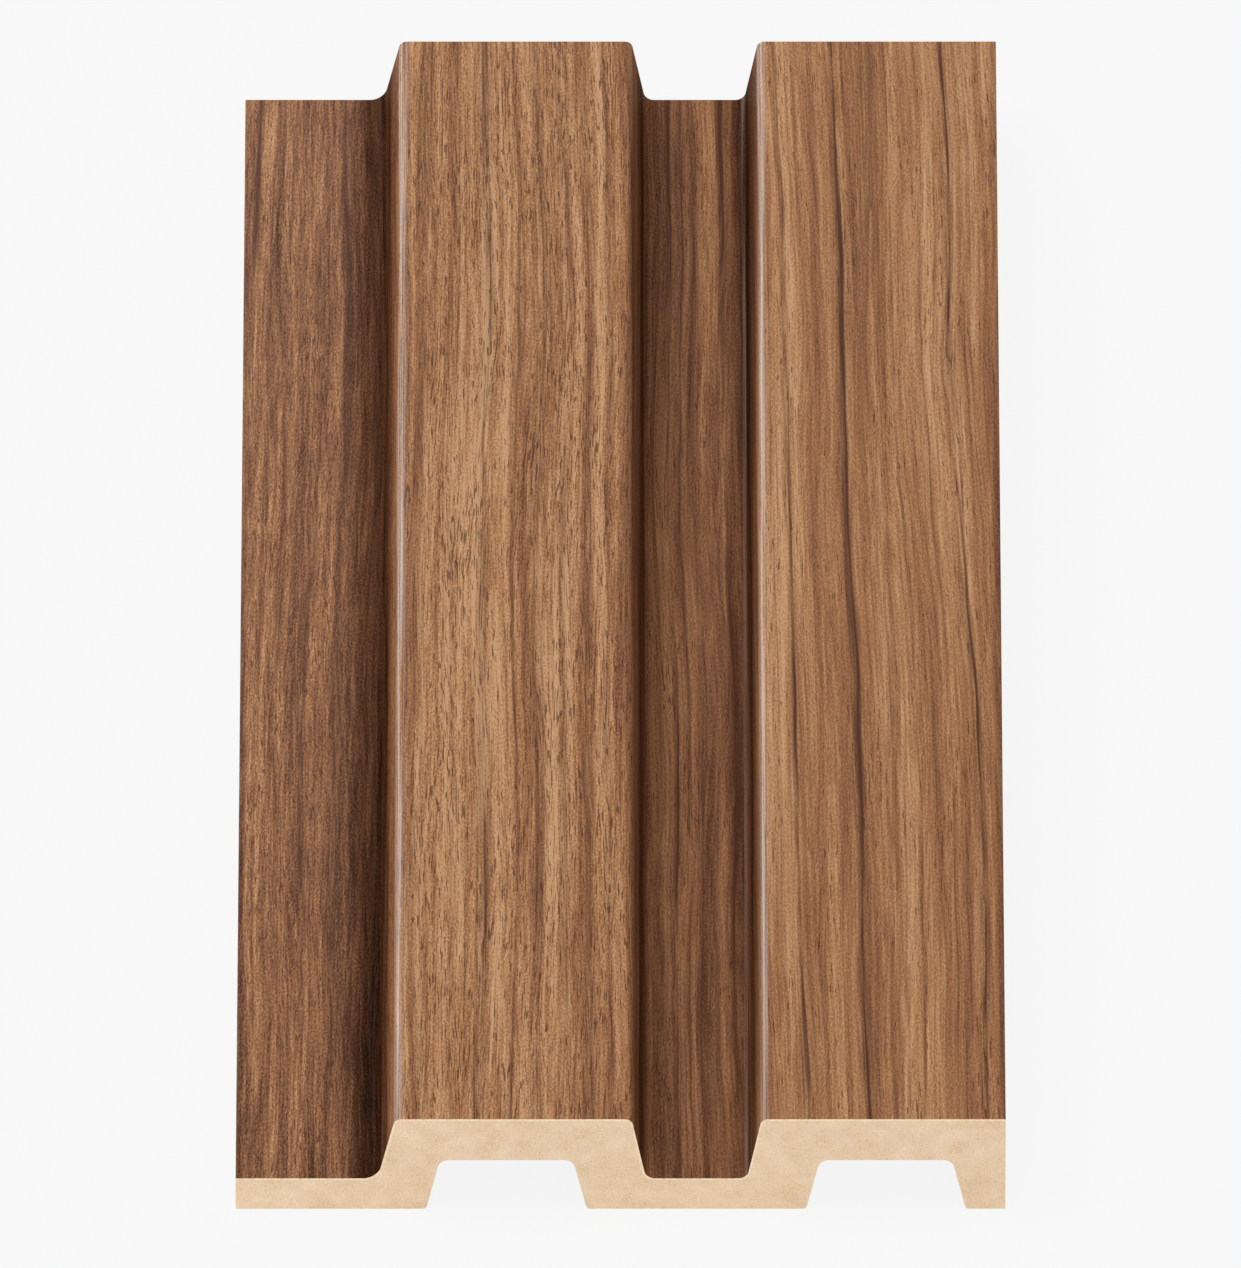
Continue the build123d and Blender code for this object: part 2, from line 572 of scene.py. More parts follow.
@dataclass(frozen=True)
class WoodPrint(Finish):
    """Satin film printed with a long straight wood grain and short pores, and embossed with a ripple.

    The print is drawn on the film's flat sheet. A single tone from 0, darkest, to 1, palest, picks the
    colour. Places are in millimetres.

    Attributes:
        borders: Place of each border across the sheet.
        length: Length of the sheet.
        fan: How much wider the grain lies at the near end than at the far end, as a share.
        fan_centre: Place across the sheet that keeps its grain straight.
        sway: Slow wandering of the grain.
        fray: Quick wandering of the grain.
        stagger: Shift along the grain, so that the ends of streaks don't line up.
        ripple_tone: Share of the ripple in the fine grain's tone.
        dark_clarity: Clarity of the fine grain where the mean tone is 0.
        clarity_gain: What the mean tone adds to it.
        pore_bounds: Noise at which a pore starts and at which it is full.
        hair_bounds: The same for the hair lines.
        swell: How the long lines grow stronger and weaker along the plank.
        line_break: How far the streaks break the long lines up.
        flange_painted_sheen: How much paler the flange is at the far end than at the near end, a painted
            sheen.
        painted_sheen_run: Width beside the flange's foot over which that is lost.
        sheen_rise: How much glossier the lacquer is at the far end than at the near end.
        drawn: Streaks of the painted highlights along the bends, with highlight_mean as their mean.
    """

    borders: dict[Border, float]
    length: float
    fan: float = 0.08
    fan_centre: float = 68.0
    sway: Streak = Streak(1, 34.0, 130.0, 3.0)
    fray: Streak = Streak(2, 5.0, 45.0, 0.9)
    stagger: Streak = Streak(14, 3.0, 400.0, 60.0)
    broad: tuple[Streak, ...] = (Streak(20, 12.0, 480.0, 0.23), Streak(21, 5.0, 300.0, 0.35))
    fine: tuple[Streak, ...] = (
        Streak(22, 2.2, 180.0, 0.37),
        Streak(23, 1.0, 62.0, 0.33),
        Streak(24, 0.45, 17.0, 0.36),
    )
    ripple: Streak = Streak(7, 0.36, 0.9)
    ripple_tone: float = 0.44
    dark_clarity: float = 0.36
    clarity_gain: float = 1.08
    pore: Streak = Streak(10, 0.32, 6.0)
    pore_crowding: Streak = Streak(9, 8.0, 40.0, 0.3)
    pore_bounds: tuple[float, float] = (0.29, 0.34)
    pore_share: float = 0.70
    hair: Streak = Streak(13, 0.45, 110.0)
    hair_bounds: tuple[float, float] = (0.16, 0.32)
    hair_share: float = 0.25
    swell: Streak = Streak(11, 3.0, 60.0, 1.2)
    line_share: float = 0.95
    line_break: float = 2.5
    flange_painted_sheen: float = 0.08
    painted_sheen_run: float = 8.0
    sheen_rise: float = 0.6
    # Streaks, share, gloss and colour of the painted highlights
    drawn: Streak = Streak(12, 0.30, 70.0, 3.0)
    highlight_mean: float = 0.8
    highlight_share: float = 0.3
    highlight_gloss: float = 0.45
    roughness: float = 0.55
    relief_roughness: float = 0.1
    coat_roughness: float = 0.28
    emboss_depth: float = 0.12 * MM
    ladder: tuple[tuple[float, Colour], ...] = (
        (0.00, srgb(31, 17, 9)),
        (0.09, srgb(50, 28, 15)),
        (0.20, srgb(72, 43, 25)),
        (0.32, srgb(95, 60, 40)),
        (0.44, srgb(119, 78, 53)),
        (0.56, srgb(141, 96, 67)),
        (0.71, srgb(165, 114, 77)),
        (0.80, srgb(179, 130, 90)),
        (0.90, srgb(193, 145, 104)),
        (1.00, srgb(207, 161, 120)),
    )
    line_colour: Colour = srgb(86, 53, 37)
    pore_colour: Colour = srgb(78, 42, 28)
    highlight_colour: Colour = srgb(205, 188, 176)

    def paint(self, sheet: NodeSheet) -> None:
        """Draws the grain with painted shade and light in its tone, its embossing, its satin and the painted
        highlights on its bends.

        Args:
            sheet: The sheet to draw on.
        """
        place = self.locate(sheet)
        ripple = place.straight(self.ripple)
        pores = self.pores(place)
        painted_highlights = self.painted_highlights(place)
        broad = sum(place.streaked(streak) for streak in self.broad)
        fine = sum(place.streaked(streak) for streak in self.fine)
        # The mean tone, with painted shade on the walls, in the feet and by the trimmed edges, and painted
        # light on the upper walls under the arrises
        shade = self.level(place.across, TONE_WITH_PAINTED_SHADE_AND_LIGHT)
        clarity = self.by_strip(place.across, Trait.FINE) * (self.dark_clarity + shade * self.clarity_gain)
        # The flange's tone carries a painted sheen that grows paler towards the far end
        tone = shade + self.painted_sheen(place) + broad * self.by_strip(place.across, Trait.BROAD)
        tone = tone + (fine + ripple * self.ripple_tone) * clarity
        colour = sheet.ramp(tone, self.ladder)
        colour = sheet.mix(self.lines(place, broad + fine), colour, self.line_colour)
        colour = sheet.mix(pores * self.pore_share, colour, self.pore_colour)
        # Painted highlight: pale colour over the arrises that face the flange and in the edge rib's foot
        colour = sheet.mix(painted_highlights * self.highlight_share, colour, self.highlight_colour)
        sheen = 1 + place.lengthwise * self.sheen_rise
        sheet.principled({
            "Base Color": colour,
            "Roughness": self.roughness + (pores + ripple) * self.relief_roughness,
            "Specular IOR Level": 0.0,
            "Coat Weight": self.level(place.across, LACQUER_SATIN) * sheen + painted_highlights * self.highlight_gloss,
            "Coat Roughness": self.coat_roughness,
            "Normal": sheet.bump(ripple, self.emboss_depth),
        })

    def locate(self, sheet: NodeSheet) -> SheetPlace:
        """Finds the place on the flat film and in its grain.

        Args:
            sheet: The sheet to draw on.

        Returns:
            The place.
        """
        film_map = sheet.node("UVMap", {"uv_map": FILM_MAP}, {}, "UV")
        across, along = (part * PER_MM for part in sheet.parts(film_map)[:2])
        lengthwise = along / self.length - 0.5
        fanned = self.fan_centre + (across - self.fan_centre) * (1 + self.fan * lengthwise)
        grain = fanned + sheet.streaked(across, along, self.sway) + sheet.streaked(across, along, self.fray)
        reached = along / self.by_strip(across, Trait.REACH, Blend.CONSTANT)
        run = reached + sheet.streaked(grain, reached, self.stagger)
        return SheetPlace(across, along, lengthwise, grain, run)

    def by_strip(self, across: Value, trait: Trait, blend: Blend = Blend.LINEAR) -> Value:
        """A trait of each strip's grain.

        Args:
            across: Place across the sheet.
            trait: The trait.
            blend: How it goes from one strip to the next.

        Returns:
            The trait at the place.
        """
        stations = []
        for strip, grain in STRIP_GRAIN.items():
            level = getattr(grain, trait.value)
            stations += [(self.borders[border], level) for border in strip.value]
        return across.sheet.profile(across, stations, blend)

    def level(self, across: Value, levels: Levels) -> Value:
        """A level that goes from border to border across the sheet.

        Args:
            across: Place across the sheet.
            levels: The levels by each border.

        Returns:
            The level at the place.
        """
        stations = []
        for border, steps in levels.items():
            stations += [(self.borders[border] + step, level) for step, level in steps]
        return across.sheet.profile(across, stations)

    def pores(self, place: SheetPlace) -> Value:
        """Short dark dashes that crowd in some places, most of all on the inner rib."""
        dashes = place.streaked(self.pore) + place.streaked(self.pore_crowding)
        return (dashes + self.by_strip(place.across, Trait.PORES)).eased(*self.pore_bounds)

    def lines(self, place: SheetPlace, streaks: Value) -> Value:
        """The long dark lines, stronger and weaker by turns along the plank, with hair lines among them.

        Args:
            place: Place on the film.
            streaks: The streaks that break the lines up.

        Returns:
            The lines' share of the colour.
        """
        marks = 0.0
        for strip, lines in GRAIN_LINES.items():
            border = self.borders[strip.value[0]]
            bands = [station for line in lines for station in line.band(border)]
            cores = [station for line in lines for station in line.core_line(border)]
            for stations in (bands, cores):
                marks = marks + place.grain.sheet.profile(place.grain, stations, Blend.EASE)
        strength = self.line_share + place.streaked(self.swell) - streaks * self.line_break
        hairs = place.streaked(self.hair).eased(*self.hair_bounds)
        return marks * strength + hairs * self.hair_share

    def painted_sheen(self, place: SheetPlace) -> Value:
        """Painted sheen: how far the flange's tone lies under its mean at the near end and over it at the
        far end.

        Args:
            place: Place on the film.

        Returns:
            What the tone gains.
        """
        foot = self.borders[Border.FLANGE_FOOT]
        on_flange = place.across.eased(foot, foot - self.painted_sheen_run)
        return place.lengthwise * on_flange * self.flange_painted_sheen

    def painted_highlights(self, place: SheetPlace) -> Value:
        """Painted highlights on the arrises that face the flange and in the edge rib's foot, pale and glossy
        in streaks.
        """
        streaks = (self.highlight_mean + place.straight(self.drawn)).greatest(0.0)
        return self.level(place.across, PAINTED_HIGHLIGHT_LEVELS) * streaks


@dataclass(frozen=True)
class BarePlastic(Finish):
    """Matt plastic that the saw laid bare, darker in patches.

    Attributes:
        patch_bounds: Noise at which a patch starts and at which it is full.
        patch_roughness: How much rougher a patch is.
        gloss: Level of the plastic's reflection.
    """

    colour: Colour
    shade: Colour
    patches: Mottle
    patch_bounds: tuple[float, float]
    roughness: float = 0.6
    patch_roughness: float = 0.2
    gloss: float = 0.25

    def paint(self, sheet: NodeSheet) -> None:
        """Draws the patches.

        Args:
            sheet: The sheet to draw on.
        """
        patches = sheet.mottled(sheet.object_place(), self.patches)
        sheet.principled({
            "Base Color": sheet.mix(patches.eased(*self.patch_bounds), self.colour, self.shade),
            "Roughness": self.roughness + patches * self.patch_roughness,
            "Specular IOR Level": self.gloss,
        })


@dataclass(frozen=True)
class SawnFoam(Finish):
    """Sawn end of the fine-celled beige foam, softly mottled, with a few brown fibres in it.

    Attributes:
        clouds: Soft mottling.
        cells: The foam's cells.
        contrast: Tone at which the pale or the tan colour is full.
        fibre_bounds: Noise at which a fibre starts and at which it is full.
        cloud_relief: Share of the mottling in the relief.
        gloss: Level of the foam's reflection.
    """

    colour: Colour = srgb(229, 202, 170)
    pale: Colour = srgb(237, 213, 185)
    tan: Colour = srgb(218, 186, 149)
    fibre: Colour = srgb(186, 148, 110)
    clouds: Mottle = Mottle((4.2, 4.2, 3.2), 3.0)
    cells: Mottle = Mottle((0.5, 0.5, 0.42))
    cloud_tone: float = 0.8
    cell_tone: float = 1.2
    contrast: float = 0.3
    fibres: Mottle = Mottle((0.75, 0.75, 0.5), 0.0)
    fibre_crowding: Mottle = Mottle((6.0, 6.0, 6.0), 1.0)
    fibre_crowding_strength: float = 0.3
    fibre_bounds: tuple[float, float] = (0.27, 0.36)
    fibre_share: float = 0.5
    roughness: float = 0.75
    cell_roughness: float = 0.2
    cloud_relief: float = 0.3
    relief_depth: float = 0.06 * MM
    gloss: float = 0.2

    def paint(self, sheet: NodeSheet) -> None:
        """Draws the mottling, the cells and the fibres.

        Args:
            sheet: The sheet to draw on.
        """
        place = sheet.object_place()
        clouds = sheet.mottled(place, self.clouds)
        cells = sheet.mottled(place, self.cells)
        crowding = sheet.mottled(place, self.fibre_crowding) * self.fibre_crowding_strength
        fibres = (sheet.mottled(place, self.fibres) + crowding).eased(*self.fibre_bounds)
        tone = clouds * self.cloud_tone + cells * self.cell_tone
        colour = sheet.mix(tone.eased(0.0, self.contrast), self.colour, self.pale)
        colour = sheet.mix(tone.eased(0.0, -self.contrast), colour, self.tan)
        sheet.principled({
            "Base Color": sheet.mix(fibres * self.fibre_share, colour, self.fibre),
            "Roughness": self.roughness + cells * self.cell_roughness,
            "Specular IOR Level": self.gloss,
            "Normal": sheet.bump(cells + clouds * self.cloud_relief, self.relief_depth),
        })


@dataclass(frozen=True)
class ExtrudedSkin(Finish):
    """The core's own skin: smooth beige foam with faint die lines along the plank.

    Attributes:
        tone: Share of the die lines and of the clouds in the tone.
        contrast: Tone at which the tan colour is full, and under zero the tone where it starts.
        gloss: Level of the skin's reflection.
    """

    colour: Colour = srgb(226, 199, 166)
    tan: Colour = srgb(210, 179, 144)
    die_lines: Mottle = Mottle((0.7, 220.0, 0.7))
    clouds: Mottle = Mottle((9.0, 40.0, 9.0))
    tone: float = 0.6
    contrast: float = 0.25
    roughness: float = 0.5
    line_roughness: float = 0.3
    relief_depth: float = 0.05 * MM
    gloss: float = 0.3

    def paint(self, sheet: NodeSheet) -> None:
        """Draws the die lines and a soft cloudiness.

        Args:
            sheet: The sheet to draw on.
        """
        place = sheet.object_place()
        lines = sheet.mottled(place, self.die_lines)
        tone = (lines + sheet.mottled(place, self.clouds)) * self.tone
        sheet.principled({
            "Base Color": sheet.mix(tone.eased(-self.contrast, self.contrast), self.colour, self.tan),
            "Roughness": self.roughness + lines * self.line_roughness,
            "Specular IOR Level": self.gloss,
            "Normal": sheet.bump(lines, self.relief_depth),
        })


@dataclass(frozen=True)
class Backdrop(Finish):
    """The pale studio surround: one colour to the eye, with a light share of real shading on the floor.

    Attributes:
        shadow_share: Share of the floor's own shading that the eye sees.
        daylight: Strength of the even light from all round.
    """

    colour: Colour = (0.938, 0.947, 0.941, 1.0)
    shadow_share: float = 0.07
    daylight: float = 0.5

    def seen(self, sheet: NodeSheet) -> Value:
        """Tells rays that show the surround itself, straight, mirrored or through something clear.

        Args:
            sheet: The sheet to draw on.

        Returns:
            1 for such rays and 0 for the rest.
        """
        straight = sheet.node("LightPath", {}, {}, "Is Camera Ray")
        mirrored = straight.sibling("Is Glossy Ray")
        return straight.greatest(mirrored).greatest(straight.sibling("Is Transmission Ray"))

    def paint(self, sheet: NodeSheet) -> None:
        """Draws the floor: matt, and mostly the plain backdrop colour to the eye.

        Args:
            sheet: The sheet to draw on.
        """
        matt = sheet.node("BsdfDiffuse", {}, {"Color": self.colour}, "BSDF")
        plain = sheet.node("Emission", {}, {"Color": self.colour, "Strength": 1.0}, "Emission")
        share = self.seen(sheet) * (1 - self.shadow_share)
        sheet.surface(sheet.node("MixShader", {}, {0: share, 1: matt, 2: plain}, "Shader"))

    def light_world(self, world: bpy.types.World) -> None:
        """Draws the world: the backdrop colour to the eye and an even soft light on everything else.

        Args:
            world: The world to draw on.
        """
        world.use_nodes = True
        sheet = NodeSheet(world.node_tree)
        white = srgb(255, 255, 255)
        soft = sheet.node("Background", {}, {"Color": white, "Strength": self.daylight}, "Background")
        plain = sheet.node("Background", {}, {"Color": self.colour, "Strength": 1.0}, "Background")
        mixed = sheet.node("MixShader", {}, {0: self.seen(sheet), 1: soft, 2: plain}, "Shader")
        sheet.surface(mixed, "OutputWorld")


@dataclass(frozen=True)
class Corner:
    """A long edge of the section: its place, how far the outline turns there and its radius."""

    x: float
    z: float
    turn: float = 0.0
    radius: float = 0.0

    @property
    def setback(self) -> float:
        """Distance from the sharp corner to where its rounding starts."""
        return self.radius * math.tan(self.turn / 2)

    @property
    def place(self) -> Vector:
        """The corner's place in the section, as a step from the origin."""
        return Vector((self.x, 0.0, self.z))

    def holds(self, point: Vector) -> bool:
        """Whether a point of the mesh lies on this edge."""
        return math.dist((point.x, point.z), (self.x, self.z)) < TOUCH


class Workpiece:
    """A mesh modelled by hand from one plane, with edit-mode operators."""

    ROUND_PROFILE = 0.5
    FLATS_FIRST = 100

    def __init__(self, name: str, centre: Vector, width: float, height: float, tilt: float = 0.0) -> None:
        """Adds the plane at its size and place and enters edit mode.

        Args:
            name: The piece's name.
            centre: The plane's middle.
            width: Its size along X.
            height: Its other size.
            tilt: Its turn about X from lying flat, in radians.
        """
        bpy.ops.object.select_all(action="DESELECT")
        bpy.ops.mesh.primitive_plane_add(size=1.0, calc_uvs=False, location=centre, rotation=(tilt, 0, 0))
        self.obj = bpy.context.object
        self.obj.name = self.obj.data.name = name
        self.obj.scale = (width, height, 1.0)
        bpy.ops.object.transform_apply(location=True, rotation=True, scale=True)
        self.edit()

    def edit(self) -> None:
        """Enters edit mode."""
        bpy.ops.object.mode_set(mode="EDIT")

    def done(self) -> None:
        """Leaves edit mode."""
        bpy.ops.object.mode_set(mode="OBJECT")

    def pick(self, kind: Element, test: Callable[[list[Vector]], bool]) -> None:
        """Selects what passes a test on its points, and nothing else.

        Args:
            kind: The kind of element.
            test: Takes the element's points.
        """
        bpy.ops.mesh.select_mode(type=kind.name)
        bpy.ops.mesh.select_all(action="DESELECT")
        shape = bmesh.from_edit_mesh(self.obj.data)
        for part in getattr(shape, kind.value):
            points = [part.co] if kind is Element.VERT else [vert.co for vert in part.verts]
            part.select_set(test(points))
        bmesh.update_edit_mesh(self.obj.data)

    def pick_at(self, kind: Element, *corners: Corner) -> None:
        """Selects what has all its points at some corners of the section."""
        self.pick(kind, lambda points: all(any(corner.holds(p) for corner in corners) for p in points))

    def move(self, step: Sequence[float]) -> None:
        """Moves what is selected."""
        bpy.ops.transform.translate(value=step)

    def extrude(self, step: Sequence[float]) -> None:
        """Extrudes what is selected along a step."""
        bpy.ops.mesh.extrude_region_move(TRANSFORM_OT_translate={"value": step})

    def round_edges(self, corners: Sequence[Corner], segments: int) -> None:
        """Rounds the long edges at some corners of the section.

        Args:
            corners: Where the edges lie and how they are rounded.
            segments: Facets of each rounding.
        """
        for corner in corners:
            self.pick_at(Element.EDGE, corner)
            bpy.ops.mesh.bevel(
                offset=corner.setback, segments=segments, profile=self.ROUND_PROFILE, clamp_overlap=False
            )

    def apply(self, kind: str, **settings: float | bool) -> None:
        """Adds a modifier and applies it.

        Args:
            kind: The modifier's type.
            settings: Its properties.
        """
        modifier = self.obj.modifiers.new(kind.lower(), kind)
        for name, setting in settings.items():
            setattr(modifier, name, setting)
        bpy.ops.object.modifier_apply(modifier=modifier.name)

    def smooth(self, crease: float) -> None:
        """Shades roundings smooth and flats flat, with edges sharp that turn by more than an angle."""
        bpy.ops.object.shade_smooth_by_angle(angle=crease)
        self.apply("WEIGHTED_NORMAL", keep_sharp=True, weight=self.FLATS_FIRST)

    def wear(self, finishes: Sequence[Finish], choose: Callable[[bpy.types.MeshPolygon], Finish]) -> None:
        """Gives each face one of some finishes.

        Args:
            finishes: The finishes, in slot order.
            choose: Picks a face's finish.
        """
        for finish in finishes:
            self.obj.data.materials.append(finish.material())
        for face in self.obj.data.polygons:
            face.material_index = finishes.index(choose(face))


@dataclass(frozen=True)
class PlankSection:
    """Section of the plank in metres, as seen from the near end, and the plank's length.

    Attributes:
        low: Low corner of the plank's box.
        high: High corner of it.
    """

    low: Vector
    high: Vector
    floor_thickness: float = 7.8 * MM
    flange_width: float = 29.5 * MM
    inner_rib_foot_width: float = 55.8 * MM
    groove_floor_width: float = 21.0 * MM
    flange_wall_draft: float = math.radians(13.5)
    groove_wall_draft: float = math.radians(11.2)
    rib_arris_radius: float = 1.6 * MM
    flange_foot_radius: float = 3.75 * MM
    groove_foot_radius: float = 2.2 * MM
    rib_top_wall: float = 10.5 * MM
    flange_leg_width: float = 10.1 * MM
    groove_leg_width: float = 12.3 * MM
    edge_leg_width: float = 8.2 * MM
    channel_draft: float = math.radians(12.9)
    channel_ceiling_radius: float = 2.2 * MM
    channel_lip_radius: float = 0.9 * MM
    film_thickness: float = 0.4 * MM
    film_edge_radius: float = 0.25 * MM

    @property
    def length(self) -> float:
        """Length of the plank."""
        return self.high.y - self.low.y

    @property
    def feet(self) -> tuple[float, float, float]:
        """Finds where the inner rib's two walls and the edge rib's wall meet the floor.

        Returns:
            The three places across the plank.
        """
        left = self.low.x + self.flange_width
        right = left + self.inner_rib_foot_width
        return left, right, right + self.groove_floor_width

    def wall(self, foot: float, draft: float, side: int, foot_radius: float, depth: float) -> list[Corner]:
        """One drafted wall of a rib.

        Args:
            foot: Where the wall's face meets the floor.
            draft: Its lean from upright.
            side: 1 where the rib is to the right of the wall, -1 where it is to the left.
            foot_radius: Radius at the foot on the face.
            depth: How deep under the face the line lies.

        Returns:
            The corners at its foot and at its arris.
        """
        inward = depth * (1 - math.sin(draft)) / math.cos(draft)
        run = (self.high.z - self.floor_thickness) * math.tan(draft)
        turn = math.pi / 2 - draft
        return [
            Corner(foot + side * inward, self.floor_thickness - depth, turn, foot_radius + depth),
            Corner(foot + side * (run + inward), self.high.z - depth, turn, self.rib_arris_radius - depth),
        ]

    def face_line(self, depth: float = 0.0) -> list[Corner]:
        """The face from edge to edge, or a line that runs at an even depth under it.

        Args:
            depth: How deep under the face the line lies.

        Returns:
            One corner for each border of the face, in order.
        """
        inner_left, inner_right, edge_rib = self.feet
        return [
            Corner(self.low.x, self.floor_thickness - depth),
            *self.wall(inner_left, self.flange_wall_draft, 1, self.flange_foot_radius, depth),
            *reversed(self.wall(inner_right, self.groove_wall_draft, -1, self.groove_foot_radius, depth)),
            *self.wall(edge_rib, self.groove_wall_draft, 1, self.groove_foot_radius, depth),
            Corner(self.high.x, self.high.z - depth),
        ]

    def back_line(self) -> list[Corner]:
        """The back from the flanged edge through the two channels.

        Returns:
            Its corners, up to the lip of the last leg.
        """
        inner_left, inner_right, edge_rib = self.feet
        mouths = [
            (inner_left + self.flange_leg_width, inner_right - self.groove_leg_width),
            (edge_rib + self.groove_leg_width, self.high.x - self.edge_leg_width),
        ]
        ceiling = self.high.z - self.rib_top_wall
        run = ceiling * math.tan(self.channel_draft)
        turn = math.pi / 2 - self.channel_draft
        line = [Corner(self.low.x, 0.0)]
        for left, right in mouths:
            line += [
                Corner(left, 0.0, turn, self.channel_lip_radius),
                Corner(left + run, ceiling, turn, self.channel_ceiling_radius),
                Corner(right - run, ceiling, turn, self.channel_ceiling_radius),
                Corner(right, 0.0, turn, self.channel_lip_radius),
            ]
        return line


@dataclass
class Piece(ABC):
    """A modelled piece of the plank that stands for one CAD node."""

    END_FACING: ClassVar[float] = 0.9

    section: PlankSection
    name: str
    node: str
    slot: str
    rounding_segments: int = 12
    crease: float = math.radians(40)
    work: Workpiece | None = field(default=None, init=False)

    @abstractmethod
    def build(self) -> None:
        """Models the piece."""

    @abstractmethod
    def dress(self) -> None:
        """Gives the piece its finishes."""

    def attach(self) -> None:
        """Puts the piece in the place of its CAD node."""
        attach(self.work.obj, BODY)
        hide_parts(self.node)
        faces = len(self.work.obj.data.polygons)
        log.info("%s: %d faces, stands for %s", self.name, faces, self.node)

    def at_end(self, face: bpy.types.MeshPolygon) -> bool:
        """Whether a face lies in one of the two sawn ends."""
        return abs(face.normal.y) > self.END_FACING


@dataclass
class DecorFilm(Piece):
    """The printed film over the whole face, bent round the arrises and into the feet of the walls.

    Attributes:
        edge_segments: Facets of the rounding along the film's trimmed edges.
        cut: The film's plastic where the saw went through it.
        developed: Places across the plank, each with its distance along the film from the flanged edge.
    """

    edge_segments: int = 3
    cut: Finish = BarePlastic(
        "film_cut", srgb(245, 222, 190), srgb(228, 199, 163), Mottle((0.9, 0.9, 0.9)), (-0.1, 0.25)
    )
    developed: list[tuple[float, float]] = field(default_factory=list, init=False)

    def build(self) -> None:
        """Bends a flat sheet along the face line and gives it its thickness."""
        line = self.section.face_line()
        start, first = line[:2]
        centre = (start.place + first.place) / 2
        self.work = Workpiece(self.name, centre, first.x - start.x, self.section.length)
        for here, there in pairwise(line[1:]):
            self.work.pick_at(Element.EDGE, here)
            self.work.extrude(there.place - here.place)
        self.work.round_edges(line[1:-1], self.rounding_segments)
        self.work.done()
        self.unroll()
        self.work.apply("SOLIDIFY", thickness=self.section.film_thickness, offset=-1.0, use_even_offset=True)
        self.work.edit()
        radius = self.section.film_edge_radius
        edges = [Corner(end.x, end.z, math.pi / 2, radius) for end in (start, line[-1])]
        self.work.round_edges(edges, self.edge_segments)
        self.work.done()
        self.work.smooth(self.crease)

    def unroll(self) -> None:
        """Lays the sheet out flat in a UV map, in metres across its developed width and along its length."""
        mesh = self.work.obj.data
        profile = sorted({(self.merged(vert.co.x), self.merged(vert.co.z)) for vert in mesh.vertices})
        run = 0.0
        self.developed = [(profile[0][0], run)]
        for before, after in pairwise(profile):
            run += math.dist(before, after)
            self.developed.append((after[0], run))
        across = dict(self.developed)
        layer = mesh.uv_layers.new(name=FILM_MAP)
        for loop in mesh.loops:
            point = mesh.vertices[loop.vertex_index].co
            layer.data[loop.index].uv = (across[self.merged(point.x)], point.y - self.section.low.y)

    @staticmethod
    def merged(place: float) -> float:
        """A place rounded so that points on one long edge share it."""
        return round(place, MERGE_DIGITS)

    def across_at(self, x: float) -> float:
        """Finds a place across the plank on the flat film.

        Args:
            x: The place across the plank.

        Returns:
            Its distance along the film from the flanged edge, in millimetres.
        """
        for (x_before, run_before), (x_after, run_after) in pairwise(self.developed):
            if x_before <= x <= x_after:
                share = (x - x_before) / (x_after - x_before)
                return (run_before + share * (run_after - run_before)) * PER_MM
        return self.developed[-1][1] * PER_MM

    def dress(self) -> None:
        """Prints the sheet and shows its plastic at the sawn ends."""
        places = [self.across_at(corner.x) for corner in self.section.face_line()]
        wood = WoodPrint("wood_print", dict(zip(Border, places)), self.section.length * PER_MM)
        self.work.wear([wood, self.cut], lambda face: self.cut if self.at_end(face) else wood)


